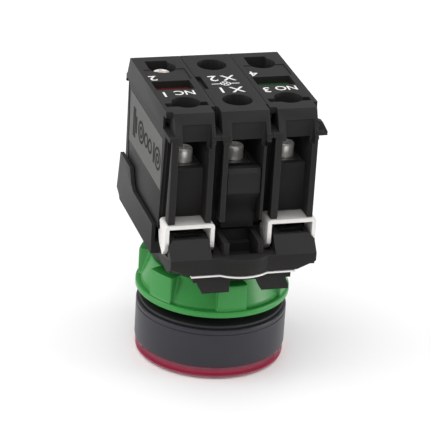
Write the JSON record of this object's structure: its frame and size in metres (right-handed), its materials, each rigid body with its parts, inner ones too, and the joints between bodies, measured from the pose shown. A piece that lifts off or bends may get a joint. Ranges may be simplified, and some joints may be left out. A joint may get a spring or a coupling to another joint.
{
  "type": "illuminated panel push button",
  "caption": "Booted red illuminated push button for a round panel hole, with a fixing nut, a locking collar, an NC and an NO contact block and a lamp module.",
  "frame": {"origin": "on the head's axis, in the plane where the gasket meets the front of the panel", "axes": "+Z along the head's axis, towards the terminals behind the panel; X across the three blocks, from the NC block to the NO block; Y along the blocks"},
  "size_m": [0.0319, 0.0436, 0.0565],
  "materials": {
    "bezel_plastic": "satin",
    "gasket_rubber": "matt",
    "boot_clear": "soft translucent",
    "lens_red": "gloss translucent",
    "grey_plastic": "matt",
    "nut_green": "satin",
    "block_black": "fine texture",
    "spring_steel": "bright rolled",
    "nickel_steel": "nickel plated",
    "spring_wire": "drawn",
    "contact_brass": "stamped",
    "tag_red": "satin",
    "tag_green": "satin",
    "board_green": "solder mask",
    "led_clear": "gloss translucent"
  },
  "bodies": {
    "root": {"bezel": "bezel_plastic", "fixing_collar": "block_black", "lamp_circuit_board": "board_green", "lamp_housing": "block_black", "lamp_led": "led_clear", "lamp_terminal_clamps": "nickel_steel", "nc_colour_tag": "tag_red", "nc_fixed_contacts": "contact_brass", "nc_front_clip": "spring_steel", "nc_housing": "block_black", "nc_identity_strip": "block_black", "nc_plunger_spring": "spring_wire", "nc_rear_clip": "spring_steel", "nc_terminal_clamps": "nickel_steel", "no_colour_tag": "tag_green", "no_fixed_contacts": "contact_brass", "no_front_clip": "spring_steel", "no_housing": "block_black", "no_identity_strip": "block_black", "no_plunger_spring": "spring_wire", "no_rear_clip": "spring_steel", "no_terminal_clamps": "nickel_steel", "panel_gasket": "gasket_rubber", "protective_boot": "boot_clear", "return_spring": "spring_wire", "spring_plate": "spring_steel", "threaded_shank": "bezel_plastic"},
    "button": {"red_lens": "lens_red", "lens_holder": "grey_plastic", "drive_yoke": "grey_plastic"},
    "nc_plunger_body": {"nc_plunger": "grey_plastic", "nc_contact_bridge": "contact_brass"},
    "no_plunger_body": {"no_plunger": "grey_plastic", "no_contact_bridge": "contact_brass"},
    "fixing_nut": {"fixing_nut": "nut_green"},
    "locking_ring": {"locking_ring": "block_black"},
    "lamp_front_latch": {"lamp_front_latch": "block_black"},
    "lamp_rear_latch": {"lamp_rear_latch": "block_black"},
    "nc_front_screw": {"nc_front_screw": "nickel_steel"},
    "nc_rear_screw": {"nc_rear_screw": "nickel_steel"},
    "lamp_front_screw": {"lamp_front_screw": "nickel_steel"},
    "lamp_rear_screw": {"lamp_rear_screw": "nickel_steel"},
    "no_front_screw": {"no_front_screw": "nickel_steel"},
    "no_rear_screw": {"no_rear_screw": "nickel_steel"}
  },
  "joints": [
    {"name": "button_press", "type": "slide", "parent": "root", "child": "button", "axis": [0, 0, 1], "range_m": [0, 0.0043], "stiffness_N_per_m": 500, "springref_m": -0.007, "deforming": ["return_spring"]},
    {"name": "nc_plunger_travel", "type": "slide", "parent": "root", "child": "nc_plunger_body", "axis": [0, 0, 1], "range_m": [0, 0.0043], "stiffness_N_per_m": 120, "springref_m": -0.005, "deforming": ["nc_plunger_spring"]},
    {"name": "no_plunger_travel", "type": "slide", "parent": "root", "child": "no_plunger_body", "axis": [0, 0, 1], "range_m": [0, 0.0043], "stiffness_N_per_m": 120, "springref_m": -0.005, "deforming": ["no_plunger_spring"]},
    {"name": "fixing_nut_turn", "type": "hinge", "parent": "root", "child": "fixing_nut", "pos_m": [0, 0, 0.0051], "axis": [0, 0, 1], "continuous": true},
    {"name": "locking_ring_turn", "type": "hinge", "parent": "root", "child": "locking_ring", "pos_m": [0, 0, 0.0114], "axis": [0, 0, 1], "range_deg": [0, 28]},
    {"name": "lamp_front_latch_release", "type": "hinge", "parent": "root", "child": "lamp_front_latch", "pos_m": [0, -0.0136, 0.02444], "axis": [1, 0, 0], "range_deg": [0, 6], "stiffness_Nm_per_rad": 0.02, "springref_deg": -5.73},
    {"name": "lamp_rear_latch_release", "type": "hinge", "parent": "root", "child": "lamp_rear_latch", "pos_m": [0, 0.0136, 0.02444], "axis": [-1, 0, 0], "range_deg": [0, 6], "stiffness_Nm_per_rad": 0.02, "springref_deg": -5.73},
    {"name": "nc_front_screw_turn", "type": "hinge", "parent": "root", "child": "nc_front_screw", "pos_m": [-0.01, -0.0093, 0.03334], "axis": [0, 0, 1], "continuous": true},
    {"name": "nc_rear_screw_turn", "type": "hinge", "parent": "root", "child": "nc_rear_screw", "pos_m": [-0.01, 0.0093, 0.03334], "axis": [0, 0, 1], "continuous": true},
    {"name": "lamp_front_screw_turn", "type": "hinge", "parent": "root", "child": "lamp_front_screw", "pos_m": [0, -0.0093, 0.03334], "axis": [0, 0, 1], "continuous": true},
    {"name": "lamp_rear_screw_turn", "type": "hinge", "parent": "root", "child": "lamp_rear_screw", "pos_m": [0, 0.0093, 0.03334], "axis": [0, 0, 1], "continuous": true},
    {"name": "no_front_screw_turn", "type": "hinge", "parent": "root", "child": "no_front_screw", "pos_m": [0.01, -0.0093, 0.03334], "axis": [0, 0, 1], "continuous": true},
    {"name": "no_rear_screw_turn", "type": "hinge", "parent": "root", "child": "no_rear_screw", "pos_m": [0.01, 0.0093, 0.03334], "axis": [0, 0, 1], "continuous": true}
  ],
  "couplings": [
    {"joint": "nc_plunger_travel", "follows": "button_press", "ratio": 1},
    {"joint": "no_plunger_travel", "follows": "button_press", "ratio": 1}
  ]
}
